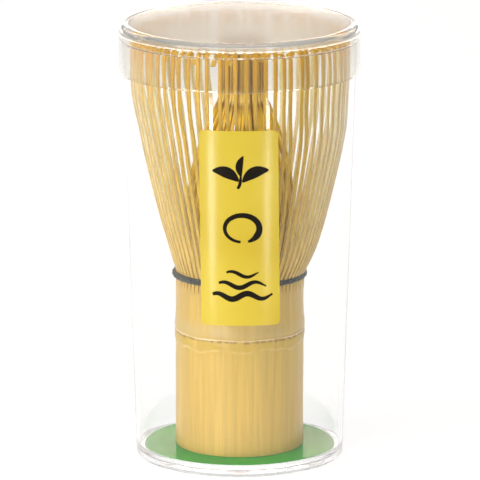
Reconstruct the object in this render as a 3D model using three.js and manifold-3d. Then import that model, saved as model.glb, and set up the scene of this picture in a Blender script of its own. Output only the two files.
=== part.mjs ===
// A bamboo tea whisk standing in its clear storage case.
//
// The whisk is one culm of bamboo: its lower half is the handle, and above the node the wall is
// split into bundles, each bundle into an outer and an inner layer, and each layer into tines. A
// thread woven round the roots spreads the outer tines, and the inner ones are drawn together in
// the middle. The case is a tapered clear tube with a slip-on lid, a paper label glued to its
// front and a paper disc on its floor.
//
// Millimetres. The origin is the middle of the case's base, +Z is up, and the label faces -Y.

import * as THREE from "three";
import { mergeVertices } from "three/addons/utils/BufferGeometryUtils.js";
import Module from "manifold-3d";

const wasm = await Module();
wasm.setup();

// ---- Driving dimensions -------------------------------------------------------------------

const ROUND_SIDES = 48;

const CASE = {
  height: 113.6,
  baseRadius: 27.75,
  rimRadius: 31.25,
  baseWall: 0.9,
  rimWall: 0.5,
  recessTop: 22.6,
  footInner: 23.4,
  footOuter: 26.3,
  cornerMiddle: [27.35, 0.45],
  cornerHeight: 1.5,
  floorUnderside: 1.6,
  floorTop: 2.75,
  floorFillet: 1.25,
};

const LID = {
  outerRadius: 32.1,
  skirtInner: 31.4,
  skirtBottom: 104.8,
  top: 117.8,
  shoulder: 1.8,
  panelRadius: 30,
  panelRecess: 0.2,
  panelThickness: 1.1,
  seatGap: 0.25,
  seatRadius: 30.9,
  seatFillet: 1.6,
};

const DISC = { radius: 25.6, thickness: 0.25 };

const LABEL = {
  width: 21,
  bottom: 42,
  top: 94.6,
  thickness: 0.2,
  glue: 0.05,
  cornerRadius: 1.4,
};

// The handle's outside runs up from its foot, over the node's crease and ridge, to the splits.
// Its bore runs back down: open above and below, and closed at the node by a diaphragm.
const HANDLE = {
  top: 46.5,
  outside: [
    [16.8, 3.0],
    [17.2, 3.4],
    [17.2, 28.9],
    [17.1, 31.4],
    [17.45, 32.6],
    [17.55, 34.4],
    [17.3, 35.4],
    [17.1, 40.8],
    [17.15, 46.5],
  ],
  bore: [
    [14.1, 46.5],
    [13.0, 39.5],
    [12.0, 34.4],
    [0, 34.4],
    [0, 31.0],
    [11.6, 31.0],
    [12.6, 28.0],
    [12.6, 3.0],
  ],
};

const SPLITS = 18;
const TINES_PER_SPLIT = 4;
const SPLIT_GAP = 0.3;
const ROOT_HEIGHT = 1.25;

// Each tine passes through stations of [radius of its outer face, height, width, thickness].
const OUTER_TINE = {
  stations: [
    [17.0, 47.0, 1.05, 1.0],
    [17.3, 50.8, 1.05, 1.0],
    [19.3, 54.6, 1.1, 0.95],
    [22.9, 67.1, 1.15, 0.9],
    [27.6, 86.8, 1.2, 0.7],
    [29.4, 101.0, 1.2, 0.5],
    [29.0, 111.5, 1.15, 0.5],
    [26.6, 115.0, 1.0, 0.5],
  ],
  rootOuter: 17.1,
  rootInner: 15.8,
};

const INNER_TINE = {
  stations: [
    [15.3, 47.0, 0.9, 1.0],
    [12.9, 80.0, 0.8, 0.9],
    [6.3, 97.0, 0.3, 0.6],
    [5.8, 111.4, 0.28, 0.6],
  ],
  rootOuter: 15.5,
  rootInner: 14.1,
};

const THREAD = { inner: 17.45, outer: 18.15, bottom: 48.9, top: 50.7 };

// ---- Materials ----------------------------------------------------------------------------

const paint = (color, roughness, more = {}) =>
  new THREE.MeshStandardMaterial({ color, roughness, metalness: 0, ...more });

const clearPlastic = () => paint(0xeef1f2, 0.08, { transparent: true, opacity: 0.25 });
const culmBamboo = () => paint(0xd6b267, 0.45);
const tineBamboo = () => paint(0xe6c98a, 0.5);
const innerBamboo = () => paint(0xc79c3e, 0.5);
const darkThread = () => paint(0x3d4238, 0.85);
const yellowPaper = () => paint(0xf0d34c, 0.35);
const greenPaper = () => paint(0x2f8a22, 0.35);

// ---- Geometry helpers ---------------------------------------------------------------------

// A closed [radius, height] outline, counter-clockwise, turned round the Z axis.
function turned(outline, sides = ROUND_SIDES) {
  const points = [...outline, outline[0]].map(([r, z]) => new THREE.Vector2(r, z));
  return new THREE.LatheGeometry(points, sides).rotateX(Math.PI / 2);
}

// Points of an arc about [r, z], from one angle to another in degrees, both ends included.
function arc(r, z, radius, from, to, steps) {
  return Array.from({ length: steps + 1 }, (_, i) => {
    const angle = THREE.MathUtils.degToRad(from + ((to - from) * i) / steps);
    return [r + radius * Math.cos(angle), z + radius * Math.sin(angle)];
  });
}

// Only shared positions matter to the solid, so seams left by normals and uvs are merged away.
function welded(geometry) {
  const bare = geometry.clone();
  bare.deleteAttribute("normal");
  bare.deleteAttribute("uv");
  return mergeVertices(bare, 1e-4);
}

function solid(geometry) {
  const { attributes, index } = welded(geometry);
  const mesh = new wasm.Mesh({
    numProp: 3,
    vertProperties: new Float32Array(attributes.position.array),
    triVerts: new Uint32Array(index.array),
  });
  return new wasm.Manifold(mesh);
}

function geometryOf(manifold) {
  const { vertProperties, triVerts } = manifold.getMesh();
  const geometry = new THREE.BufferGeometry();
  geometry.setAttribute("position", new THREE.BufferAttribute(vertProperties, 3));
  geometry.setIndex(new THREE.BufferAttribute(triVerts, 1));
  geometry.computeVertexNormals();
  return geometry;
}

function piece(name, geometry, material) {
  const mesh = new THREE.Mesh(geometry, material);
  mesh.name = name;
  return mesh;
}

// Outer radius of the case's tapered wall at a height.
function caseRadius(z) {
  const share = (z - CASE.cornerHeight) / (CASE.height - CASE.cornerHeight);
  return CASE.baseRadius + (CASE.rimRadius - CASE.baseRadius) * share;
}

// ---- The case -----------------------------------------------------------------------------

function caseTube() {
  const filletTop = CASE.floorTop + CASE.floorFillet;
  const filletRadius = caseRadius(filletTop) - CASE.baseWall - CASE.floorFillet;
  return turned([
    [0, CASE.floorUnderside],
    [CASE.recessTop, CASE.floorUnderside],
    [CASE.footInner, 0],
    [CASE.footOuter, 0],
    CASE.cornerMiddle,
    [CASE.baseRadius, CASE.cornerHeight],
    [CASE.rimRadius, CASE.height],
    [CASE.rimRadius - CASE.rimWall, CASE.height],
    ...arc(filletRadius, filletTop, CASE.floorFillet, 0, -90, 2),
    [0, CASE.floorTop],
  ]);
}

function caseLid() {
  const shoulderR = LID.outerRadius - LID.shoulder;
  const shoulderZ = LID.top - LID.shoulder;
  const panelTop = LID.top - LID.panelRecess;
  const seatZ = CASE.height + LID.seatGap;
  const panelUnder = panelTop - LID.panelThickness;
  const filletR = LID.seatRadius - LID.seatFillet;
  const filletZ = panelUnder - LID.seatFillet;
  return turned([
    [0, panelUnder],
    ...arc(filletR, filletZ, LID.seatFillet, 90, 0, 2),
    [LID.seatRadius, seatZ],
    [LID.skirtInner, seatZ],
    [LID.skirtInner, LID.skirtBottom],
    [LID.outerRadius, LID.skirtBottom],
    ...arc(shoulderR, shoulderZ, LID.shoulder, 0, 90, 4),
    [LID.panelRadius + LID.panelRecess, LID.top],
    [LID.panelRadius, panelTop],
    [0, panelTop],
  ]);
}

function baseDisc() {
  const disc = new THREE.CylinderGeometry(DISC.radius, DISC.radius, DISC.thickness, ROUND_SIDES);
  return disc.rotateX(Math.PI / 2).translate(0, 0, CASE.floorTop + DISC.thickness / 2);
}

// A rounded rectangle of paper that follows the tube's taper.
function label() {
  const inner = (z) => caseRadius(z) + LABEL.glue;
  const outer = (z) => inner(z) + LABEL.thickness;
  const sleeve = turned([
    [inner(LABEL.bottom), LABEL.bottom],
    [outer(LABEL.bottom), LABEL.bottom],
    [outer(LABEL.top), LABEL.top],
    [inner(LABEL.top), LABEL.top],
  ]);
  const half = LABEL.width / 2;
  const r = LABEL.cornerRadius;
  const outline = new THREE.Shape();
  outline.absarc(half - r, LABEL.bottom + r, r, -Math.PI / 2, 0);
  outline.absarc(half - r, LABEL.top - r, r, 0, Math.PI / 2);
  outline.absarc(r - half, LABEL.top - r, r, Math.PI / 2, Math.PI);
  outline.absarc(r - half, LABEL.bottom + r, r, Math.PI, 1.5 * Math.PI);
  const cutter = new THREE.ExtrudeGeometry(outline, {
    depth: LID.outerRadius,
    bevelEnabled: false,
    curveSegments: 3,
  });
  return geometryOf(solid(sleeve).intersect(solid(cutter.rotateX(Math.PI / 2))));
}

// ---- The whisk ----------------------------------------------------------------------------

function handle() {
  return turned([...HANDLE.outside, ...HANDLE.bore]);
}

// A box bent along the stations: its local X runs across the tine, Y through it and Z along it.
function tine({ stations }) {
  const last = stations.length - 1;
  const geometry = new THREE.BoxGeometry(1, 1, 1, 1, 1, last);
  const position = geometry.attributes.position;
  for (let i = 0; i < position.count; i += 1) {
    const at = Math.round((position.getZ(i) + 0.5) * last);
    const [r, z, width, thickness] = stations[at];
    const inward = inwardAt(stations, at);
    const depth = (0.5 - position.getY(i)) * thickness;
    position.setXYZ(i, position.getX(i) * width, r + inward.x * depth, z + inward.y * depth);
  }
  return geometry;
}

// The direction into the tine from its outer face: level at the root, square to the path above.
function inwardAt(stations, at) {
  if (at === 0) return new THREE.Vector2(-1, 0);
  const before = stations[at - 1];
  const after = stations[Math.min(at + 1, stations.length - 1)];
  return new THREE.Vector2(before[1] - after[1], after[0] - before[0]).normalize();
}

// The unsplit arc of wall at the foot of one bundle's layer, centred on +Y.
function root({ rootOuter, rootInner }) {
  const middle = Math.PI / 2;
  const outerSpan = Math.PI / SPLITS - SPLIT_GAP / 2 / rootOuter;
  const innerSpan = Math.PI / SPLITS - SPLIT_GAP / 2 / rootInner;
  const shape = new THREE.Shape();
  shape.absarc(0, 0, rootOuter, middle - outerSpan, middle + outerSpan, false);
  shape.absarc(0, 0, rootInner, middle + innerSpan, middle - innerSpan, true);
  const arcOfWall = new THREE.ExtrudeGeometry(shape, {
    depth: ROOT_HEIGHT,
    bevelEnabled: false,
    curveSegments: 2,
  });
  return arcOfWall.translate(0, 0, HANDLE.top);
}

// One layer of one bundle: its root and its tines, joined in one piece of bamboo.
function comb(kind) {
  const pitch = (2 * Math.PI) / SPLITS / TINES_PER_SPLIT;
  let joined = solid(root(kind));
  for (let i = 0; i < TINES_PER_SPLIT; i += 1) {
    const turn = (i - (TINES_PER_SPLIT - 1) / 2) * pitch;
    joined = joined.add(solid(tine(kind).rotateZ(turn)));
  }
  return geometryOf(joined);
}

function ringOfCombs(name, kind, material) {
  const ring = new THREE.Group();
  const geometry = comb(kind);
  for (let i = 0; i < SPLITS; i += 1) {
    const mesh = piece(`${name}_${String(i + 1).padStart(2, "0")}`, geometry, material());
    mesh.rotation.z = (2 * Math.PI * i) / SPLITS;
    ring.add(mesh);
  }
  return ring;
}

function bindingThread() {
  const t = THREAD;
  return turned(
    [
      [t.inner, t.bottom],
      [t.outer, t.bottom],
      [t.outer, t.top],
      [t.inner, t.top],
    ],
    SPLITS * TINES_PER_SPLIT,
  );
}

// ---- Assembly -----------------------------------------------------------------------------

const whisk = new THREE.Group();
whisk.add(
  piece("handle", handle(), culmBamboo()),
  ringOfCombs("outer_tines", OUTER_TINE, tineBamboo),
  ringOfCombs("inner_tines", INNER_TINE, innerBamboo),
  piece("binding_thread", bindingThread(), darkThread()),
);

const storageCase = new THREE.Group();
storageCase.add(
  piece("case_tube", caseTube(), clearPlastic()),
  piece("base_disc", baseDisc(), greenPaper()),
  piece("label", label(), yellowPaper()),
  piece("case_lid", caseLid(), clearPlastic()),
);

const assembly = new THREE.Group();
assembly.add(whisk, storageCase);

export default assembly;
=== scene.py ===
"""A bamboo tea whisk in its clear storage case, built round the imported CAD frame."""
import math
import random

import bpy
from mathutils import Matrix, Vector, noise


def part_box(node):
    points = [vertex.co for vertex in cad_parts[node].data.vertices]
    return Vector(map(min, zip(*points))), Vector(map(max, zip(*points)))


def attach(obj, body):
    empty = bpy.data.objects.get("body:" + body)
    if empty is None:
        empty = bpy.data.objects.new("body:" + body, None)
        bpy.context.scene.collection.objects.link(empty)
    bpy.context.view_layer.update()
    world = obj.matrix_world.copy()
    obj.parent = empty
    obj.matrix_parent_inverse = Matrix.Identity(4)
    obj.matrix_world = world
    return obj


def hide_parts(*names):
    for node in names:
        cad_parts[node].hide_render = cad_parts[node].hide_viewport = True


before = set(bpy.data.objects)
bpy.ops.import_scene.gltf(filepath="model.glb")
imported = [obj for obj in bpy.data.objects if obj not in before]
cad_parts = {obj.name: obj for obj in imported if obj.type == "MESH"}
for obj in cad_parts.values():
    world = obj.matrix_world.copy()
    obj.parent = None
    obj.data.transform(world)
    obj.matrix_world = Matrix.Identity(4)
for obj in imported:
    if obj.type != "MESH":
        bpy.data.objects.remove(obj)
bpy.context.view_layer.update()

MM = 0.001
TAU = 2 * math.pi


# ---- Sizes taken from the frame ------------------------------------------------------------

def reach(node):
    """Outer radius, lowest and highest z of a round CAD node, in metres."""
    low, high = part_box(node)
    return high.x, low.z, high.z


CAD_COMBS = sorted(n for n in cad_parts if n.startswith("outer_tines_"))
SPLITS = len(CAD_COMBS)
TINES_PER_SPLIT = 4
TINES = SPLITS * TINES_PER_SPLIT

RIM_RADIUS, _, TUBE_TOP = reach("case_tube")
LID_RADIUS, SKIRT_BOTTOM, LID_TOP = reach("case_lid")
DISC_RADIUS, DISC_BOTTOM, DISC_TOP = reach("base_disc")
THREAD_RADIUS, THREAD_BOTTOM, THREAD_TOP = reach("binding_thread")
LABEL_LOW, LABEL_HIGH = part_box("label")
_, _, TINE_TOP = reach(CAD_COMBS[0])
_, _, BUNDLE_TOP = reach("inner_tines_01")

CULM_RADIUS = 17.15 * MM
BASE_RADIUS = 27.75 * MM
BASE_WALL = 0.9 * MM
RIM_WALL = 0.5 * MM
CORNER = 1.5 * MM
LABEL_MIDDLE = (LABEL_LOW.z + LABEL_HIGH.z) / 2


def tube_radius(z):
    """Outer radius of the case's tapered wall at a height."""
    share = (z - CORNER) / (TUBE_TOP - CORNER)
    return BASE_RADIUS + (RIM_RADIUS - BASE_RADIUS) * share


def tube_bore(z):
    """Inner radius of the case at a height: the moulded wall thins towards its rim."""
    return tube_radius(z) - BASE_WALL + (BASE_WALL - RIM_WALL) * z / TUBE_TOP


# ---- Small tools ---------------------------------------------------------------------------

def srgb(r, g, b, alpha=1.0):
    """A colour given as 0 to 255 screen values, as linear values."""
    def linear(v):
        v /= 255
        return v / 12.92 if v <= 0.04045 else ((v + 0.055) / 1.055) ** 2.4
    return (linear(r), linear(g), linear(b), alpha)


def spline(points, t):
    """A smooth curve through points of any length, at t from 0 to 1 (Catmull-Rom)."""
    last = len(points) - 1
    place = min(max(t, 0.0), 1.0) * last
    i = min(int(place), last - 1)
    f = place - i
    p0 = points[max(i - 1, 0)]
    p1 = points[i]
    p2 = points[i + 1]
    p3 = points[min(i + 2, last)]
    return [
        0.5 * (2 * b + (c - a) * f + (2 * a - 5 * b + 4 * c - d) * f * f
               + (3 * b - a - 3 * c + d) * f ** 3)
        for a, b, c, d in zip(p0, p1, p2, p3)
    ]


def arc(cx, cy, radius, start, end, steps):
    """Points of an arc from one angle to another, in degrees, both ends included."""
    turns = [math.radians(start + (end - start) * i / steps) for i in range(steps + 1)]
    return [(cx + radius * math.cos(a), cy + radius * math.sin(a)) for a in turns]


def held(outline):
    """Adds a point close to each end of every long side, so that flat walls stay optically flat."""
    near, long_side = 0.12 * MM, 0.8 * MM
    points = []
    for i, (r, z) in enumerate(outline):
        points.append((r, z))
        nr, nz = outline[(i + 1) % len(outline)]
        length = math.hypot(nr - r, nz - z)
        if length > long_side:
            for f in (near / length, 1 - near / length):
                points.append((r + (nr - r) * f, z + (nz - z) * f))
    return points


def smooth_step(low, high, x):
    """0 below low, 1 above high, and a smooth rise between them."""
    t = min(max((x - low) / (high - low), 0.0), 1.0)
    return t * t * (3 - 2 * t)


def make_object(name, verts, faces, materials, sharp=40.0, indices=None):
    """A mesh object, smooth but for edges sharper than an angle in degrees."""
    mesh = bpy.data.meshes.new(name)
    mesh.from_pydata(verts, [], faces)
    for material in materials:
        mesh.materials.append(material)
    mesh.polygons.foreach_set("use_smooth", [True] * len(mesh.polygons))
    if indices:
        mesh.polygons.foreach_set("material_index", indices)
    mesh.set_sharp_from_angle(angle=math.radians(sharp))
    mesh.update()
    obj = bpy.data.objects.new(name, mesh)
    bpy.context.scene.collection.objects.link(obj)
    return obj


ON_AXIS = 1e-9


class Solid:
    """Vertices and faces of one piece, gathered from lofts."""

    def __init__(self):
        self.verts = []
        self.faces = []
        self.slots = []

    def loft(self, rings, closed=False, slot_of=None):
        """Skins a run of rings of points. An open run is capped at both ends."""
        first = len(self.verts)
        size = len(rings[0])
        for ring in rings:
            self.verts.extend(ring)
        spans = len(rings) if closed else len(rings) - 1
        for i in range(spans):
            a = first + i * size
            b = first + ((i + 1) % len(rings)) * size
            for j in range(size):
                k = (j + 1) % size
                self.faces.append((a + j, a + k, b + k, b + j))
                self.slots.append(slot_of(i, j) if slot_of else 0)
        if not closed:
            end = first + (len(rings) - 1) * size
            self.faces.append(tuple(first + j for j in reversed(range(size))))
            self.faces.append(tuple(end + j for j in range(size)))
            self.slots.extend([self.slots[-1]] * 2 if slot_of else [0, 0])

    def turn(self, outline, sides, slot_of=None):
        """Turns a closed [radius, height] outline round the Z axis; points at radius 0 are poles."""
        starts = []
        for r, z in outline:
            starts.append(len(self.verts))
            if r < ON_AXIS:
                self.verts.append((0.0, 0.0, z))
            else:
                for j in range(sides):
                    a = TAU * j / sides
                    self.verts.append((r * math.sin(a), -r * math.cos(a), z))
        count = len(outline)
        for i in range(count):
            n = (i + 1) % count
            here, there = outline[i][0] < ON_AXIS, outline[n][0] < ON_AXIS
            if here and there:
                continue
            a, b = starts[i], starts[n]
            for j in range(sides):
                k = (j + 1) % sides
                if here:
                    face = (a, b + k, b + j)
                elif there:
                    face = (a + j, a + k, b)
                else:
                    face = (a + j, a + k, b + k, b + j)
                self.faces.append(face)
                self.slots.append(slot_of(i) if slot_of else 0)

    def make(self, name, materials, sharp=40.0):
        return make_object(name, self.verts, self.faces, materials, sharp, self.slots)


# ---- Materials -----------------------------------------------------------------------------

class Nodes:
    """A material's node tree, with short calls for the nodes used here."""

    def __init__(self, name):
        self.material = bpy.data.materials.new(name)
        self.material.use_nodes = True
        self.tree = self.material.node_tree
        self.shader = self.tree.nodes["Principled BSDF"]

    def add(self, kind, **values):
        node = self.tree.nodes.new(kind)
        for key, value in values.items():
            setattr(node, key, value)
        return node

    def link(self, a, b):
        self.tree.links.new(a, b)

    def put(self, **values):
        """Sets the shader's own sockets; underscores stand for spaces."""
        for key, value in values.items():
            self.shader.inputs[key.replace("_", " ")].default_value = value

    def place(self, scale=(1, 1, 1)):
        """Object coordinates, scaled along each axis."""
        coords = self.add("ShaderNodeTexCoord")
        mapping = self.add("ShaderNodeMapping")
        mapping.inputs["Scale"].default_value = scale
        self.link(coords.outputs["Object"], mapping.inputs["Vector"])
        return mapping.outputs["Vector"]

    def noise(self, vector, scale, detail=4.0, rough=0.55):
        node = self.add("ShaderNodeTexNoise")
        node.inputs["Scale"].default_value = scale
        node.inputs["Detail"].default_value = detail
        node.inputs["Roughness"].default_value = rough
        self.link(vector, node.inputs["Vector"])
        return node.outputs["Fac"]

    def ramp(self, value, *stops):
        """A colour ramp through (position, colour) stops."""
        node = self.add("ShaderNodeValToRGB")
        elements = node.color_ramp.elements
        while len(elements) < len(stops):
            elements.new(0.5)
        for element, (position, colour) in zip(elements, stops):
            element.position = position
            element.color = colour
        self.link(value, node.inputs["Fac"])
        return node.outputs["Color"]

    def mix(self, factor, a, b, kind="MIX"):
        node = self.add("ShaderNodeMix", data_type="RGBA", blend_type=kind)
        self.feed(factor, node.inputs[0])
        self.feed(a, node.inputs[6])
        self.feed(b, node.inputs[7])
        return node.outputs[2]

    def math(self, operation, a, b=0.0):
        node = self.add("ShaderNodeMath", operation=operation)
        self.feed(a, node.inputs[0])
        self.feed(b, node.inputs[1])
        return node.outputs[0]

    def span(self, value, low, high, to_low, to_high):
        """Maps low to high onto to_low to to_high, and holds the ends."""
        node = self.add("ShaderNodeMapRange")
        self.link(value, node.inputs["Value"])
        ends = {"From Min": low, "From Max": high, "To Min": to_low, "To Max": to_high}
        for key, end in ends.items():
            node.inputs[key].default_value = end
        return node.outputs["Result"]

    def feed(self, value, socket):
        """Links another node's output to a socket, or sets the socket to a plain value."""
        if hasattr(value, "is_linked"):
            self.link(value, socket)
        else:
            socket.default_value = value

    def bump(self, height, strength, distance):
        node = self.add("ShaderNodeBump")
        node.inputs["Strength"].default_value = strength
        node.inputs["Distance"].default_value = distance
        self.link(height, node.inputs["Height"])
        self.link(node.outputs["Normal"], self.shader.inputs["Normal"])

    def along(self, axis):
        """The object's own X, Y or Z, in metres."""
        coords = self.add("ShaderNodeTexCoord")
        split = self.add("ShaderNodeSeparateXYZ")
        self.link(coords.outputs["Object"], split.inputs[0])
        return split.outputs[axis]


def bamboo(name, tones, roughness, fibre=1.0, contrast=1.0, node_band=False, gloss=0.2, glow=0.0):
    """Bamboo: fine upright fibres, slow colour drift and a satin skin.

    tones is a run of (height in metres, colour), from the foot to the tips. fibre is how fine the
    grain is, contrast how strong, and glow how much light passes through thin wood.
    """
    n = Nodes(name)
    fibres = n.noise(n.place((fibre, fibre, 0.02 * fibre)), 3600, 5.0, 0.62)
    streaks = n.noise(n.place((1, 1, 0.03)), 900, 3.0, 0.5)
    drift = n.noise(n.place(), 60, 2.0, 0.5)
    height = n.span(n.along("Z"), 0.0, LID_TOP, 0.0, 1.0)
    colour = n.ramp(height, *[(z / LID_TOP, c) for z, c in tones])
    tone = n.math("ADD", n.math("MULTIPLY", streaks, 0.5), n.math("MULTIPLY", fibres, 0.5))
    low, high = 1 - 0.2 * contrast, 1 + 0.13 * contrast
    shade = n.ramp(tone, (0.36, (low, low * 0.98, low * 0.93, 1)), (0.64, (high, high, high, 1)))
    colour = n.mix(1.0, colour, shade, "MULTIPLY")
    warm = n.span(drift, 0.35, 0.65, 0.0, 0.3)
    colour = n.mix(warm, colour, n.mix(1.0, colour, (1.04, 0.95, 0.82, 1), "MULTIPLY"))
    if node_band:
        colour = node_colours(n, colour)
    n.link(colour, n.shader.inputs["Base Color"])
    n.link(n.span(streaks, 0.3, 0.7, roughness + 0.06, roughness - 0.05), n.shader.inputs["Roughness"])
    n.put(Specular_IOR_Level=0.5, Coat_Weight=gloss, Coat_Roughness=0.25)
    if glow:
        n.put(Subsurface_Weight=glow, Subsurface_Radius=(1.0, 0.75, 0.45), Subsurface_Scale=1.2 * MM)
    n.bump(n.math("ADD", fibres, n.math("MULTIPLY", streaks, 1.4)), 0.2 * contrast, 0.0001)
    return n.material


RIDGE = 34.85 * MM
CREASE = 31.9 * MM
NODE_SPAN = (29.5 * MM, 39.5 * MM)


def node_colours(n, colour):
    """Paler skin above the node, a patchy golden band under its ridge, rootlet dots, and pale lines
    along the ridge and the crease."""
    z = n.along("Z")
    wobble = n.noise(n.place((1, 1, 0.3)), 130, 3.0)
    ragged = n.math("ADD", z, n.span(wobble, 0.3, 0.7, -0.9 * MM, 0.9 * MM))
    z = n.math("ADD", z, n.span(wobble, 0.3, 0.7, -0.15 * MM, 0.15 * MM))
    patches = n.noise(n.place((1, 1, 0.6)), 260, 4.0, 0.6)
    share = n.span(z, *NODE_SPAN, 0.0, 1.0)
    black, white = (0, 0, 0, 1), (1, 1, 1, 1)
    above = n.ramp(share, (0.54, black), (0.58, white), (0.78, white), (1.0, black))
    above = n.math("MULTIPLY", above, n.span(patches, 0.3, 0.7, 0.7, 0.2))
    colour = n.mix(above, colour, srgb(200, 176, 120))
    low_edge = n.span(ragged, 30.2 * MM, 33.0 * MM, 0.0, 1.0)
    band = n.math("MULTIPLY", low_edge, n.ramp(share, (0.5, white), (0.54, black)))
    band = n.math("MULTIPLY", band, n.span(patches, 0.4, 0.62, 0.1, 0.9))
    colour = n.mix(band, colour, srgb(194, 162, 38))
    from_ridge = n.math("ABSOLUTE", n.math("SUBTRACT", z, RIDGE))
    ridge = n.math("MULTIPLY", n.span(from_ridge, 0.0, 0.32 * MM, 0.85, 0.0),
                   n.span(patches, 0.36, 0.56, 0.3, 1.0))
    colour = n.mix(ridge, colour, srgb(246, 226, 196))
    from_crease = n.math("ABSOLUTE", n.math("SUBTRACT", ragged, CREASE))
    crease = n.math("MULTIPLY", n.span(from_crease, 0.0, 0.5 * MM, 0.5, 0.0),
                    n.span(patches, 0.4, 0.6, 0.0, 1.0))
    colour = n.mix(crease, colour, srgb(236, 214, 160))
    dots = n.noise(n.place((1, 1, 0.7)), 1000, 1.0)
    under_ridge = n.ramp(share, (0.45, black), (0.48, white), (0.51, white), (0.54, black))
    rootlets = n.math("MULTIPLY", under_ridge, n.span(dots, 0.46, 0.56, 0.0, 0.6))
    return n.mix(rootlets, colour, srgb(112, 78, 40))


# The skin's colour up the whisk. From 56 mm to 98 mm it darkens, partly its own deeper gold and partly
# painted shade for the shade between the tines.
SKIN_TONES = (
    (0.0, srgb(208, 170, 74)), (30 * MM, srgb(206, 172, 76)), (48 * MM, srgb(206, 172, 82)),
    (56 * MM, srgb(218, 184, 88)), (80 * MM, srgb(210, 174, 62)), (98 * MM, srgb(202, 164, 46)),
    (106 * MM, srgb(216, 170, 36)), (112 * MM, srgb(226, 172, 16)),
)


def culm_skin():
    """The handle's outside, with its node."""
    return bamboo("culm_skin", SKIN_TONES, 0.4, contrast=0.8, node_band=True)


def tine_skin():
    """The outer faces of the outer tines, which are the culm's skin too."""
    return bamboo("tine_skin", SKIN_TONES, 0.38, gloss=0.2)


def tine_cut():
    """The wood inside the wall is paler than its skin; up the flare its colour is also pushed almost to
    white, painted light for the light that reaches the shaded back tines.
    """
    tones = (
        # Painted light: the near-white tone at 92 mm stands in for light on back tines that the front
        # ones shade.
        (0.0, srgb(224, 186, 112)), (56 * MM, srgb(250, 230, 178)), (92 * MM, srgb(255, 246, 214)),
        (105 * MM, srgb(252, 234, 168)), (112 * MM, srgb(244, 198, 60)),
    )
    return bamboo("tine_cut", tones, 0.5, 1.6, 0.9, glow=0.6)


def inner_skin():
    """The bundle: painted shade darkens it between the roots, it is deep gold on its flare, and at its
    kink a painted highlight makes a pale band with painted shade just under it; above the kink it is
    duller.
    """
    tones = (
        # Painted shade: the dark tones at 47 and 58 mm darken the roots that sit inside the outer tines.
        (0.0, srgb(206, 164, 76)), (47 * MM, srgb(130, 92, 40)), (58 * MM, srgb(156, 114, 46)),
        # Painted highlight: the pale tones at 97.6 and 98.8 mm light the kink, and the dark tone at 96.2
        # mm is painted shade just under it.
        (80 * MM, srgb(240, 200, 8)), (93.5 * MM, srgb(246, 204, 4)), (96.2 * MM, srgb(190, 146, 20)),
        (97.6 * MM, srgb(255, 226, 120)), (98.8 * MM, srgb(255, 222, 110)),
        (100.5 * MM, srgb(206, 168, 70)), (112 * MM, srgb(226, 184, 60)),
    )
    return bamboo("inner_skin", tones, 0.42, 1.5, 1.5)


def thread_cotton():
    """Fuzzy dark grey-green cotton."""
    n = Nodes("thread_cotton")
    fuzz = n.noise(n.place(), 2600, 5.0, 0.7)
    drift = n.noise(n.place(), 300, 2.0)
    colour = n.ramp(fuzz, (0.3, srgb(28, 31, 27)), (0.55, srgb(60, 65, 57)), (0.75, srgb(108, 110, 94)))
    colour = n.mix(n.span(drift, 0.35, 0.65, 0.0, 0.5), colour, srgb(70, 66, 58))
    n.link(colour, n.shader.inputs["Base Color"])
    n.put(Roughness=0.9, Sheen_Weight=0.3, Sheen_Roughness=0.5)
    n.bump(fuzz, 0.6, 0.0001)
    return n.material


def clear_plastic(name, tint, roughness, wave, shine=0.5):
    """Clear moulded plastic; wave is how uneven its surface is."""
    n = Nodes(name)
    n.put(Base_Color=tint, IOR=1.5, Transmission_Weight=1.0, Specular_IOR_Level=shine)
    marks = n.noise(n.place((1, 1, 0.25)), 900, 4.0, 0.7)
    n.link(n.span(marks, 0.45, 0.75, roughness, roughness + 0.05), n.shader.inputs["Roughness"])
    n.bump(n.noise(n.place(), 60, 2.0), wave, 0.0002)
    return n.material


def coated_paper(name, light, middle, dark, roughness, specular, coat=0.0):
    """Printed paper or card, in three close tones that drift."""
    n = Nodes(name)
    fibre = n.noise(n.place(), 1500, 5.0, 0.65)
    drift = n.noise(n.place(), 40, 2.0)
    colour = n.ramp(drift, (0.35, dark), (0.5, middle), (0.65, light))
    colour = n.mix(n.span(fibre, 0.4, 0.7, 0.0, 0.12), colour, dark)
    n.link(colour, n.shader.inputs["Base Color"])
    n.link(n.span(fibre, 0.3, 0.7, roughness, roughness + 0.08), n.shader.inputs["Roughness"])
    n.put(Specular_IOR_Level=specular, Coat_Weight=coat, Coat_Roughness=0.08, Coat_IOR=1.25)
    n.bump(fibre, 0.05, 0.00003)
    return n.material


def plain_card():
    """The unprinted side of the disc."""
    n = Nodes("plain_card")
    fibre = n.noise(n.place(), 1200, 4.0, 0.6)
    colour = n.ramp(fibre, (0.3, srgb(244, 243, 238)), (0.7, srgb(252, 252, 250)))
    n.link(colour, n.shader.inputs["Base Color"])
    n.link(n.span(fibre, 0.3, 0.7, 0.6, 0.75), n.shader.inputs["Roughness"])
    n.bump(fibre, 0.1, 0.00003)
    return n.material


def black_ink():
    """Warm black ink with a slight grain."""
    n = Nodes("black_ink")
    grain = n.noise(n.place(), 1800, 4.0, 0.7)
    colour = n.ramp(grain, (0.3, srgb(12, 8, 4)), (0.7, srgb(34, 26, 14)))
    n.link(colour, n.shader.inputs["Base Color"])
    n.link(n.span(grain, 0.3, 0.7, 0.35, 0.5), n.shader.inputs["Roughness"])
    n.put(Specular_IOR_Level=0.15)
    n.bump(grain, 0.1, 0.00003)
    return n.material


# Painted light: the floor's glow rises from dim in front of the object to bright under and behind it.
GLOW_REACH = (-0.2, -0.035)
GLOW = (0.07, 0.7)


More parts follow.
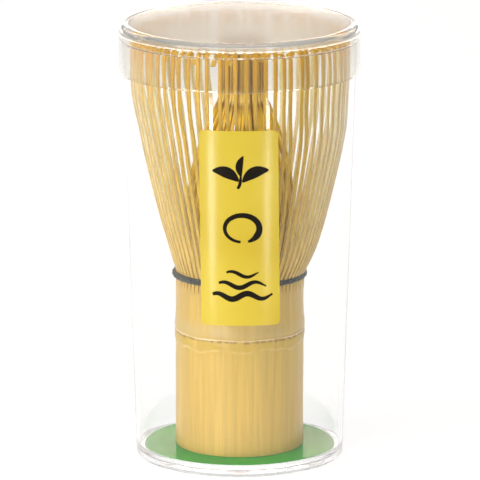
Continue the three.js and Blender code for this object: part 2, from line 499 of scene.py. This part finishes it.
def studio_white():
    """A pale sheet that glows, with painted light in its glow: dim in front of the object, bright under
    and behind it.
    """
    n = Nodes("studio_white")
    drift = n.noise(n.place(), 3, 2.0)
    colour = n.ramp(drift, (0.3, (0.42, 0.42, 0.42, 1)), (0.7, (0.45, 0.45, 0.45, 1)))
    n.link(colour, n.shader.inputs["Base Color"])
    n.put(Roughness=0.8, Specular_IOR_Level=0.1, Emission_Color=(1, 1, 1, 1))
    glow = n.span(n.along("Y"), *GLOW_REACH, *GLOW)
    n.link(glow, n.shader.inputs["Emission Strength"])
    return n.material


# ---- The case ------------------------------------------------------------------------------

CASE_SIDES = 160
DISC_SIDES = 128
# The tube's floor and the disc each stand this far off the plane where their CAD solids meet.
DISC_GAP = 0.02 * MM


def case_tube(plastic):
    """The tube in one shell: recessed underside, foot ring, tapered wall, round rim and floor."""
    inner_foot, outer_foot = 23.4 * MM, 26.3 * MM
    under, floor = 1.6 * MM, DISC_BOTTOM - DISC_GAP
    fillet = 1.25 * MM
    fillet_z = floor + fillet
    fillet_r = tube_bore(fillet_z) - fillet
    rim = 0.22 * MM
    levels = (20 * MM, 60 * MM, 100 * MM)
    outline = [
        (0, under), (inner_foot - 1.0 * MM, under), (inner_foot - 0.5 * MM, under - 0.25 * MM),
        (inner_foot, 0.3 * MM), (inner_foot + 0.3 * MM, 0), (outer_foot - 0.1 * MM, 0),
        *arc(BASE_RADIUS - CORNER, CORNER, CORNER, -78, 0, 8),
        *[(tube_radius(z), z) for z in levels],
        *arc(RIM_RADIUS - rim, TUBE_TOP - rim, rim, 0, 90, 5),
        *arc(RIM_RADIUS - RIM_WALL + rim, TUBE_TOP - rim, rim, 90, 180, 5),
        *[(tube_bore(z), z) for z in reversed(levels)],
        *arc(fillet_r, fillet_z, fillet, 0, -90, 7),
        (0, floor),
    ]
    solid = Solid()
    solid.turn(held(outline), CASE_SIDES)
    return solid.make("clear_tube", [plastic], 50)


def case_lid(plastic, panel_plastic):
    """The lid in one shell: a skirt that slips over the rim, a round shoulder and a sunk panel."""
    shoulder = 1.8 * MM
    skirt_inner, seat = 31.4 * MM, 30.9 * MM
    fillet = 1.6 * MM
    seat_z = TUBE_TOP + 0.25 * MM
    panel_r, recess, panel = 29.9 * MM, 0.14 * MM, 1.1 * MM
    panel_top = LID_TOP - recess
    panel_under = panel_top - panel
    lip = 0.3 * MM
    outline = [
        (0, panel_under), *arc(seat - fillet, panel_under - fillet, fillet, 90, 0, 8),
        (seat, seat_z + 0.1 * MM), (seat + 0.1 * MM, seat_z),
        (skirt_inner - 0.05 * MM, seat_z), (skirt_inner, seat_z - 0.05 * MM),
        *arc(skirt_inner + lip, SKIRT_BOTTOM + lip, lip, 180, 270, 4),
        *arc(LID_RADIUS - lip, SKIRT_BOTTOM + lip, lip, 270, 360, 4),
        *arc(LID_RADIUS - shoulder, LID_TOP - shoulder, shoulder, 0, 90, 14),
        (panel_r + 0.3 * MM, LID_TOP), (panel_r + 0.1 * MM, LID_TOP - 0.04 * MM),
        (panel_r - 0.1 * MM, panel_top + 0.04 * MM), (panel_r - 0.35 * MM, panel_top), (0, panel_top),
    ]
    outline = held(outline)
    following = outline[1:] + outline[:1]
    is_panel = [max(a[0], b[0]) < panel_r for a, b in zip(outline, following)]
    solid = Solid()
    solid.turn(outline, CASE_SIDES, lambda i: int(is_panel[i]))
    return solid.make("clear_lid", [plastic, panel_plastic], 50)


def base_disc(card, back):
    """A card disc, printed on its upper side and plain underneath."""
    edge = 0.08 * MM
    under_whisk = 18 * MM
    bottom = DISC_BOTTOM + DISC_GAP
    outline = [
        (0, bottom), (DISC_RADIUS - edge, bottom), (DISC_RADIUS, bottom + edge),
        (DISC_RADIUS, DISC_TOP - edge), (DISC_RADIUS - edge, DISC_TOP),
        (under_whisk, DISC_TOP), (0, DISC_TOP),
    ]
    solid = Solid()
    solid.turn(outline, DISC_SIDES, lambda i: 1 if i < 2 else 0)
    return solid.make("green_disc", [card, back], 30)


# ---- The label -----------------------------------------------------------------------------

GLUE = 0.05 * MM
PAPER = 0.16 * MM
INK_BOTTOM = PAPER + 0.005 * MM
INK_TOP = PAPER + 0.04 * MM
LABEL_TILT = math.radians(-0.7)
LABEL_CORNER = 1.4 * MM


def on_label(across, z, lift):
    """A point on the tube's front: across is along the paper, which is stuck on a little askew."""
    r = tube_radius(z) + GLUE + lift
    a = (across + (z - LABEL_MIDDLE) * math.tan(LABEL_TILT)) / (tube_radius(z) + GLUE)
    return (r * math.sin(a), -r * math.cos(a), z)


def paper_label(paper):
    """A rounded rectangle of paper, as rings of points running up the label."""
    half = (LABEL_HIGH.x - LABEL_LOW.x) / 2
    low, high = LABEL_LOW.z, LABEL_HIGH.z
    corner = LABEL_CORNER
    rows, columns, corner_rows = 60, 24, 6
    insets = [corner * (1 - math.cos(math.pi / 2 * i / corner_rows)) for i in range(corner_rows)]
    levels = [low + inset for inset in insets]
    levels += [low + corner + (high - low - 2 * corner) * i / rows for i in range(rows + 1)]
    levels += [high - inset for inset in reversed(insets)]
    solid = Solid()
    rings = []
    for z in levels:
        into = max(corner - (z - low), corner - (high - z), 0.0)
        width = half - corner + math.sqrt(max(corner ** 2 - into ** 2, 0.0))
        steps = [width * (2 * i / columns - 1) for i in range(columns + 1)]
        front = [on_label(s, z, PAPER) for s in steps]
        back = [on_label(s, z, 0.0) for s in reversed(steps)]
        rings.append(front + back)
    solid.loft(rings)
    return solid.make("yellow_label", [paper], 30)


def brush(solid, path, width, steps=40, across=4):
    """A brush stroke along path(t) -> (across, z), as wide as width(t), in metres."""
    rings = []
    for i in range(steps + 1):
        t = i / steps
        x, z = path(t)
        x0, z0 = path(max(t - 0.01, 0.0))
        x1, z1 = path(min(t + 0.01, 1.0))
        length = math.hypot(x1 - x0, z1 - z0)
        nx, nz = -(z1 - z0) / length, (x1 - x0) / length
        half = max(width(t), 0.03 * MM)
        offsets = [half * (2 * j / across - 1) for j in range(across + 1)]
        top = [on_label(x + nx * o, z + nz * o, INK_TOP) for o in offsets]
        bottom = [on_label(x + nx * o, z + nz * o, INK_BOTTOM) for o in reversed(offsets)]
        rings.append(top + bottom)
    solid.loft(rings)


def leaf(solid, x, z, length, angle, half):
    """A pointed leaf that bends a little, from its stalk end."""
    a = math.radians(angle)

    def path(t):
        bend = math.copysign(0.14, half) * length * math.sin(math.pi * t)
        return (x + length * t * math.cos(a) - bend * math.sin(a),
                z + length * t * math.sin(a) + bend * math.cos(a))
    brush(solid, path, lambda t: abs(half) * math.sin(math.pi * min(t * 0.96 + 0.02, 1)) ** 0.8)


def stroke(solid, points, width):
    """A stroke through points, full in its middle and tapered at both ends."""
    brush(solid, lambda t: tuple(spline(points, t)),
          lambda t: width * (0.35 + 0.65 * math.sin(math.pi * min(t * 0.9 + 0.08, 1)) ** 0.6))


# The ring and the waves are stamped a little to the right of the label's middle. Each wave has its
# height above the mark's middle, half its length and half its stroke's width.
MARK_X = 0.6 * MM
WAVES = ((2.9, 4.2, 0.5), (0.0, 6.2, 0.62), (-3.1, 7.9, 0.8))


def ink_sprig(ink, z):
    """Two leaves and a bud on a stem."""
    solid = Solid()
    leaf(solid, 0.9 * MM, z - 2.6 * MM, 7.6 * MM, 24, 1.5 * MM)
    leaf(solid, -0.1 * MM, z - 2.4 * MM, 7.4 * MM, 158, -1.5 * MM)
    leaf(solid, 0.6 * MM, z - 1.2 * MM, 5.6 * MM, 84, 0.95 * MM)
    stem = [(-0.4 * MM, z - 4.4 * MM), (0.2 * MM, z - 3.2 * MM), (0.5 * MM, z - 1.0 * MM)]
    stroke(solid, stem, 0.42 * MM)
    return solid.make("ink_sprig", [ink], 30)


def ink_ring(ink, z):
    """One turn of a loaded brush, wider than it is tall and left slightly open."""
    solid = Solid()
    radius = 3.7 * MM
    stretch = 1.25
    start, sweep = -70, 335

    def path(t):
        a = math.radians(start + sweep * t)
        r = radius * (1 - 0.04 * t)
        return (MARK_X + stretch * r * math.cos(a), z + r * math.sin(a))

    def width(t):
        return (0.95 - 0.6 * t) * MM * (0.3 + 0.7 * min(1, t * 9))
    brush(solid, path, width, 90)
    return solid.make("ink_ring", [ink], 30)


def ink_waves(ink, z):
    """Three lapping waves, each longer and broader than the one above it."""
    solid = Solid()
    for row, (lift, half_length, half_width) in enumerate(WAVES):
        def path(t, lift=lift, half_length=half_length, row=row):
            x = (-1 + 2 * t) * half_length * MM
            swell = 0.75 * MM * math.sin(TAU * (t * (1.0 + 0.5 * row) + 0.1))
            return (x + MARK_X, z + lift * MM + swell)

        def width(t, half_width=half_width):
            full = math.sin(math.pi * min(t + 0.05, 1)) ** 0.7
            return half_width * MM * (0.35 + 0.65 * full)
        brush(solid, path, width, 60)
    return solid.make("ink_waves", [ink], 30)


# ---- The whisk -----------------------------------------------------------------------------

# Outlines of the culm as (radius, height) in millimetres: up its outside, over the crease and the
# ridge of the node, and back down its bore, which the node's diaphragm closes.
HANDLE_OUTSIDE = [
    (16.75, 3.0), (17.05, 3.12), (17.18, 3.45), (17.2, 4.5), (17.18, 10), (17.15, 18), (17.2, 25),
    (17.2, 28), (17.17, 29.6), (17.18, 30.8), (17.25, 31.8), (17.38, 32.6), (17.48, 33.3), (17.48, 33.9),
    (17.38, 34.3), (17.35, 34.5), (17.5, 34.72), (17.48, 34.95), (17.33, 35.15), (17.42, 35.6),
    (17.5, 36.2), (17.4, 37.2), (17.25, 38.4), (17.15, 40.0), (17.1, 41.5), (17.08, 43.0),
    (17.1, 44.6), (17.12, 45.3), (17.05, 45.8), (16.8, 46.3),
]
HANDLE_INSIDE = [
    (14.2, 46.3), (13.6, 43), (13.0, 39.5), (12.2, 35.6), (10.5, 34.6), (6.0, 34.2), (0, 34.0),
    (0, 31.4), (6.0, 31.2), (10.5, 30.8), (12.2, 29.4), (12.6, 27), (12.6, 5), (12.7, 3.15), (12.9, 3.0),
]
CULM_SIDES = 180


def culm_radius_factor(a, z):
    """A culm is never quite round, and its skin undulates slowly."""
    around = Vector((math.sin(a), -math.cos(a), 0))
    slow = noise.noise(around * 1.3 + Vector((3.1, 0.7, z * 40)))
    return 1 + 0.0035 * math.sin(2 * a + 0.6) + 0.005 * slow


def node_lean(a, z):
    """The rings of the node rise towards +X and waver a little, in metres."""
    node, reach_of_node = 34 * MM, 4 * MM
    near = math.exp(-(((z - node) / reach_of_node) ** 2))
    around = Vector((math.sin(a) * 1.6, -math.cos(a) * 1.6, 5.5))
    return near * (0.5 * math.sin(a) + 0.22 * noise.noise(around)) * MM


def handle_culm(skin, cut):
    """The culm turned from its outlines, then pulled a little out of round."""
    longest_step = 1.6 * MM
    shaped_from = 15 * MM
    outline = [(r * MM, z * MM) for r, z in HANDLE_OUTSIDE + HANDLE_INSIDE]
    outside = len(HANDLE_OUTSIDE)
    fine = []
    is_skin = []
    for i, (r, z) in enumerate(outline):
        fine.append((r, z))
        is_skin.append(i < outside - 1)
        n = outline[(i + 1) % len(outline)]
        steps = int(math.hypot(n[0] - r, n[1] - z) / longest_step) if i < outside - 1 else 0
        for k in range(1, steps + 1):
            f = k / (steps + 1)
            fine.append((r + (n[0] - r) * f, z + (n[1] - z) * f))
            is_skin.append(True)
    solid = Solid()
    solid.turn(fine, CULM_SIDES, lambda i: 0 if is_skin[i] else 1)
    shaped = []
    for x, y, z in solid.verts:
        r = math.hypot(x, y)
        if r > shaped_from:
            a = math.atan2(x, -y)
            factor = culm_radius_factor(a, z)
            x, y, z = x * factor, y * factor, z + node_lean(a, z)
        shaped.append((x, y, z))
    solid.verts = shaped
    return solid.make("handle_culm", [skin, cut], 35)


def whisk_lean(z):
    """How far the whisk's middle strays towards +X at a height, in metres."""
    rise = smooth_step(44 * MM, 60 * MM, z)
    fall = smooth_step(88 * MM, 100 * MM, z)
    return (0.95 * rise - 0.7 * fall) * MM


def tine_rings(place, size, bearing, middle, steps):
    """Rings of one tine, from its root to its tip.

    place(t) -> (r, z), size(t) -> (width, thickness, how far it is split), bearing(t) -> angle,
    middle(z) -> x of the whisk's middle there. The outer face is a shallow curve, as bark is;
    where the tine is split free of its neighbours its corners are eased.
    """
    rings = []
    near = 0.004
    for i in range(steps + 1):
        t = i / steps
        r, z = place(t)
        r0, z0 = place(max(t - near, 0.0))
        r1, z1 = place(min(t + near, 1.0))
        length = math.hypot(r1 - r0, z1 - z0)
        width, thick, free = size(t)
        a = bearing(t)
        radial = Vector((math.cos(a), math.sin(a), 0))
        tangent = Vector((-math.sin(a), math.cos(a), 0))
        centre = radial * r + Vector((middle(z), 0, z))
        into = radial * (-(z1 - z0) / length) + Vector((0, 0, (r1 - r0) / length))
        half = width / 2
        ease = 0.05 * MM * free
        edge = 0.02 * MM + (0.3 * thick - 0.02 * MM) * free
        inner = 1 - 0.12 * free
        shoulder = 0.015 * MM + ease
        back = 0.93 * thick
        section = [
            (-half, edge), (-0.86 * half, shoulder), (-0.45 * half, 0.25 * ease), (0, 0),
            (0.45 * half, 0.25 * ease), (0.86 * half, shoulder), (half, edge),
            (inner * half, back), (0.55 * half, thick), (-0.55 * half, thick), (-inner * half, back),
        ]
        rings.append([tuple(centre + tangent * x + into * y) for x, y in section])
    return rings


# Of a tine's 11 sides, the first 6 are its outer face.
SKIN_SIDES = 6

# The outer tines' flare, as (radius, height) in millimetres, up to where they hook inwards.
OUTER_PATH = [
    (16.95, 44.2), (17.11, 45.4), (17.16, 46.6), (17.16, 48.0), (17.2, 49.6), (17.6, 51.2), (18.6, 53.6),
    (20.1, 57.9), (21.95, 64.0), (23.7, 70.8), (25.35, 77.6), (26.8, 84.0), (28.0, 90.4), (28.85, 96.6),
    (29.35, 102.2), (29.45, 106.8),
]
CLEAR_OF_CULM = (47.5 * MM, 53 * MM)
HOOK_RADIUS = 29.3 * MM
ROOT_WIDTH = 1.12 * MM


def outer_path(radius, turn, top):
    """Up the flare, then a small hook inwards of a radius, through turn degrees."""
    points = [(r * MM, z * MM) for r, z in OUTER_PATH]
    points += arc(HOOK_RADIUS - radius, top - radius, radius, 5, turn, 5)
    return points


def comb_angles(index):
    """Bearings of one comb's tines. The first comb is centred on +Y, and they follow turning left."""
    centre = math.pi / 2 + TAU * index / SPLITS
    pitch = TAU / TINES
    return [centre + (i - (TINES_PER_SPLIT - 1) / 2) * pitch for i in range(TINES_PER_SPLIT)]


def parted(angle):
    """Tines stand a little apart beside the bundle, at the front and the back: the extra bearing."""
    across = math.degrees(math.asin(max(-1.0, min(1.0, math.cos(angle)))))
    spread = 2.5
    inward = 2.2 * math.exp(-(((across + 12.5) / spread) ** 2))
    outward = 1.3 * math.exp(-(((abs(across) - 17.5) / spread) ** 2))
    shift = math.radians(inward + (outward if across > 0 else -0.8 * outward))
    return shift if math.sin(angle) < 0 else -shift


def outer_comb(index, skin, cut):
    """One split's outer tines, each with its own hook, drift, curl, length and width."""
    dice = random.Random(100 + index)
    solid = Solid()
    pull = [math.radians(dice.uniform(-0.3, 0.9)) for _ in range(2)]
    for order, angle in enumerate(comb_angles(index)):
        hook, turn = dice.uniform(1.5, 2.3) * MM, dice.uniform(150, 235)
        points = outer_path(hook, turn, TINE_TOP - dice.uniform(0, 0.9) * MM)
        drift = pull[order // 2] * (1 if order % 2 == 0 else -1) + math.radians(dice.uniform(-0.5, 0.5))
        curl = math.radians(dice.choice((-1, 1)) * dice.uniform(1.5, 6.0))
        apart = parted(angle)
        lift = dice.uniform(-0.45, 0.0) * MM
        full = dice.uniform(0.92, 1.12) * MM
        tip = dice.uniform(1.1, 1.5) * MM
        slit = dice.uniform(-0.5, 0.5) * MM

        def place(t, points=points, lift=lift, angle=angle):
            r, z = spline(points, t)
            loose = smooth_step(*CLEAR_OF_CULM, z)
            culm = culm_radius_factor(angle + math.pi / 2, z)
            return r * (culm + (1 - culm) * loose) + lift * smooth_step(0.3, 0.7, t), z

        def size(t, points=points, full=full, tip=tip, slit=slit):
            z = spline(points, t)[1]
            free = smooth_step(45.9 * MM + slit, 49.2 * MM, z)
            whole = CULM_RADIUS * TAU / TINES
            width = whole + (ROOT_WIDTH - whole) * free
            width += (full - ROOT_WIDTH) * smooth_step(54 * MM, 88 * MM, z)
            width += (tip - full) * smooth_step(0.78, 1.0, t)
            thick = 1.6 - 0.9 * smooth_step(0.1, 0.5, t) - 0.4 * smooth_step(0.7, 1.0, t)
            return width, thick * MM, free

        def bearing(t, angle=angle, drift=drift + apart, curl=curl):
            return angle + drift * smooth_step(0.15, 0.75, t) + curl * smooth_step(0.78, 1.0, t)
        rings = tine_rings(place, size, bearing, whisk_lean, OUTER_STEPS)
        solid.loft(rings, slot_of=lambda i, j: 0 if j < SKIN_SIDES else 1)
    return solid.make(f"outer_bamboo_{index + 1:02d}", [skin, cut], 32)


# The inner tines' route, as (radius, height) in millimetres: up inside the outer ones, in over the
# flare of the bundle, and upright again above its kink.
INNER_PATH = [
    (15.2, 45.0), (15.4, 48.0), (15.4, 53.0), (15.1, 60.0), (14.6, 66.7), (13.9, 73.5), (12.9, 79.5),
    (11.5, 84.5), (9.8, 89.3), (8.2, 93.4), (6.7, 97.2), (6.3, 98.6), (6.3, 101.0), (6.2, 106.0),
    (6.1, 111.4),
]
TWIST = math.radians(12)
OUTER_STEPS = 56
INNER_STEPS = 40


def bundle_lean(z):
    """The inner bundle leans a little more to +X than the rest."""
    return 0.9 * MM * smooth_step(56 * MM, 96 * MM, z)


def inner_comb(index, skin):
    """One split's inner tines. Every other one lies deeper, so that the bundle has two layers."""
    dice = random.Random(500 + index)
    solid = Solid()
    for order, angle in enumerate(comb_angles(index)):
        deep = 0.8 * MM if order % 2 else 0.0
        top = BUNDLE_TOP - dice.uniform(0.0, 1.6) * MM
        stray = dice.uniform(-0.45, 0.25)
        points = [
            ((r + stray * smooth_step(50, 80, z) * (1 - smooth_step(92, 98, z))) * MM
             - deep * smooth_step(60, 92, z), min(z * MM, top))
            for r, z in INNER_PATH
        ]
        swing = TWIST + math.radians(dice.uniform(-4.5, 4.5))
        wide = dice.uniform(0.85, 1.1)

        def place(t, points=points):
            return spline(points, t)

        def size(t, wide=wide):
            width = (1.3 - 0.35 * smooth_step(0.0, 0.5, t) - 0.35 * smooth_step(0.55, 0.8, t)) * wide
            return width * MM, (1.1 - 0.45 * smooth_step(0.1, 0.6, t)) * MM, smooth_step(0.0, 0.2, t)

        def bearing(t, angle=angle, swing=swing):
            return angle + swing * smooth_step(0.15, 0.8, t)
        solid.loft(tine_rings(place, size, bearing, bundle_lean, INNER_STEPS))
    return solid.make(f"inner_bamboo_{index + 1:02d}", [skin], 32)


def cord_rings(points, radius, sides):
    """Rings round a closed loop of points about the Z axis."""
    rings = []
    count = len(points)
    for i, p in enumerate(points):
        ahead = (points[(i + 1) % count] - points[i - 1]).normalized()
        out = Vector((p.x, p.y, 0)).normalized()
        side = ahead.cross(out).normalized()
        out = side.cross(ahead)
        rings.append([
            tuple(p + (out * math.cos(TAU * j / sides) + side * math.sin(TAU * j / sides)) * radius)
            for j in range(sides)
        ])
    return rings


def binding_thread(cotton):
    """Three strands twisted round each other, dipping into the gap between every two tines."""
    solid = Solid()
    strands = 3
    middle = (THREAD_BOTTOM + THREAD_TOP) / 2
    radius = 0.46 * MM
    coil = 0.4 * MM
    centre = THREAD_RADIUS - radius - coil
    steps = TINES * 8
    for strand in range(strands):
        points = []
        for i in range(steps):
            a = TAU * i / steps
            phase = a * TINES / 2 + TAU * strand / strands
            dip = 0.22 * MM * (1 + math.cos(a * TINES)) / 2
            r = centre + coil * math.cos(phase) - dip
            z = middle + 1.2 * coil * math.sin(phase) + 0.3 * MM * math.cos(a)
            points.append(Vector((r * math.sin(a), -r * math.cos(a), z)))
        solid.loft(cord_rings(points, radius, 8), closed=True)
    return solid.make("dark_thread_strands", [cotton], 60)


# ---- Building it ---------------------------------------------------------------------------

def build_case():
    clear = clear_plastic("clear_wall", (0.985, 0.987, 0.985, 1), 0.01, 0.03, 0.3)
    tube = case_tube(clear)
    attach(tube, "case")
    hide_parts("case_tube")

    card = coated_paper("green_card", srgb(22, 164, 14), srgb(18, 158, 12), srgb(16, 148, 10),
                        0.55, 0.05, 0.28)
    disc = base_disc(card, plain_card())
    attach(disc, "case")
    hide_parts("base_disc")

    paper = coated_paper("yellow_coated_paper", srgb(235, 208, 70), srgb(230, 202, 62),
                         srgb(224, 194, 54), 0.17, 0.55)
    label = paper_label(paper)
    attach(label, "case")
    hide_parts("label")
    ink = black_ink()
    pitch = 15.2 * MM
    marks = (
        ink_sprig(ink, LABEL_MIDDLE + pitch),
        ink_ring(ink, LABEL_MIDDLE),
        ink_waves(ink, LABEL_MIDDLE - pitch),
    )
    for mark in marks:
        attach(mark, "case")

    hazy = clear_plastic("lid_panel", (0.95, 0.925, 0.84, 1), 0.13, 0.1)
    lid = case_lid(clear_plastic("clear_lid_wall", (0.88, 0.862, 0.81, 1), 0.02, 0.03), hazy)
    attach(lid, "lid")
    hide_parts("case_lid")
    for clear_piece in (tube, lid):
        clear_piece.visible_shadow = False


def build_whisk():
    cut = tine_cut()
    handle = handle_culm(culm_skin(), cut)
    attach(handle, "whisk")
    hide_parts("handle")

    skin, inner = tine_skin(), inner_skin()
    for index in range(SPLITS):
        comb = outer_comb(index, skin, cut)
        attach(comb, "whisk")
        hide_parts(f"outer_tines_{index + 1:02d}")
        comb = inner_comb(index, inner)
        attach(comb, "whisk")
        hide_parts(f"inner_tines_{index + 1:02d}")

    thread = binding_thread(thread_cotton())
    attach(thread, "whisk")
    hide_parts("binding_thread")


# ---- Studio --------------------------------------------------------------------------------

# Light crosses many clear walls on its way through the case and the lid.
LIGHT_BOUNCES = 48


def build_floor():
    """A sheet six metres across, a hair below the case's foot."""
    size = 3.0
    verts = [(-size, -size, 0), (size, -size, 0), (size, size, 0), (-size, size, 0)]
    floor = make_object("studio_floor", verts, [(0, 1, 2, 3)], [studio_white()])
    floor.location.z = -0.2 * MM


def area_light(name, place, target, size, power, colour=(1, 1, 1)):
    """A rectangular lamp at a place, turned to a target, with its power in watts."""
    data = bpy.data.lights.new(name, "AREA")
    data.shape = "RECTANGLE"
    data.size, data.size_y = size
    data.energy = power
    data.color = colour
    lamp = bpy.data.objects.new(name, data)
    lamp.location = place
    lamp.rotation_euler = (Vector(target) - Vector(place)).to_track_quat("-Z", "Y").to_euler()
    lamp.visible_camera = False
    bpy.context.scene.collection.objects.link(lamp)


def build_world():
    """A white studio with a grey wall on the left and a darker, warmer one on the right."""
    world = bpy.data.worlds.new("studio")
    world.use_nodes = True
    tree = world.node_tree
    background = tree.nodes["Background"]
    coords = tree.nodes.new("ShaderNodeTexCoord")
    split = tree.nodes.new("ShaderNodeSeparateXYZ")
    ramp = tree.nodes.new("ShaderNodeValToRGB")
    tree.links.new(coords.outputs["Generated"], split.inputs[0])
    across = tree.nodes.new("ShaderNodeMapRange")
    across.inputs["From Min"].default_value = -1.0
    tree.links.new(split.outputs["X"], across.inputs["Value"])
    tree.links.new(across.outputs["Result"], ramp.inputs["Fac"])
    stops = ((0.06, (0.42, 0.42, 0.41)), (0.3, (1, 1, 1)), (0.68, (1, 1, 1)), (0.95, (0.55, 0.48, 0.34)))
    for position, _ in stops[1:-1]:
        ramp.color_ramp.elements.new(position)
    for element, (position, colour) in zip(ramp.color_ramp.elements, stops):
        element.position = position
        element.color = (*colour, 1)
    tree.links.new(ramp.outputs["Color"], background.inputs["Color"])
    background.inputs["Strength"].default_value = 0.52
    bpy.context.scene.world = world


def build_camera():
    """A long lens in front of the label, looking down a little."""
    distance, elevation = 1.558, math.radians(12.82)
    target = Vector((0, 0, 0.058))
    back = Vector((0, -math.cos(elevation), math.sin(elevation)))
    data = bpy.data.cameras.new("camera")
    data.lens = 437.2
    data.sensor_width = 36
    data.shift_x = 0.00085
    data.shift_y = 0.0038
    data.clip_start = 0.05
    data.clip_end = 20
    camera = bpy.data.objects.new("camera", data)
    camera.location = target + back * distance
    camera.rotation_euler = (-back).to_track_quat("-Z", "Y").to_euler()
    bpy.context.scene.collection.objects.link(camera)
    bpy.context.scene.camera = camera


def build_lights():
    """A warm key from the left, soft lamps in front, above and on the right, low ones behind that
    shine through the clear walls and off the disc, and two narrow ones in front of the case."""
    centre = (0, 0, 0.06)
    area_light("key_left", (-1.0, -0.8, 0.5), centre, (0.6, 0.7), 7.1, (1.0, 0.96, 0.88))
    area_light("front_soft", (-0.2, -1.45, 0.62), centre, (0.5, 0.4), 1.7, (1.0, 0.97, 0.9))
    area_light("back_low", (0, 1.4, 0.12), (0, 0, 0.12), (2.0, 0.22), 4.0)
    area_light("disc_shine", (0, 0.5, 0.135), (0, 0, 0.003), (0.4, 0.045), 0.3, (1.0, 0.68, 0.58))
    area_light("overhead", (0, -0.15, 1.1), centre, (0.7, 0.5), 1.7)
    area_light("fill_right", (1.0, -0.7, 0.4), centre, (0.6, 0.7), 1.1, (1.0, 0.98, 0.74))
    away, bearing, height = 0.21, math.radians(26.5), 0.027
    for side, power in ((-1, 0.034), (1, 0.022)):
        place = (away * side * math.sin(bearing), -away * math.cos(bearing), height)
        area_light(f"strip_{side + 2}", place, (0, 0, height), (0.012, 0.052), power)


def build_studio():
    build_floor()
    build_world()
    build_lights()
    build_camera()
    scene = bpy.context.scene
    scene.view_settings.view_transform = "Standard"
    scene.cycles.max_bounces = LIGHT_BOUNCES
    scene.cycles.transmission_bounces = LIGHT_BOUNCES
    scene.cycles.glossy_bounces = LIGHT_BOUNCES


build_case()
build_whisk()
build_studio()
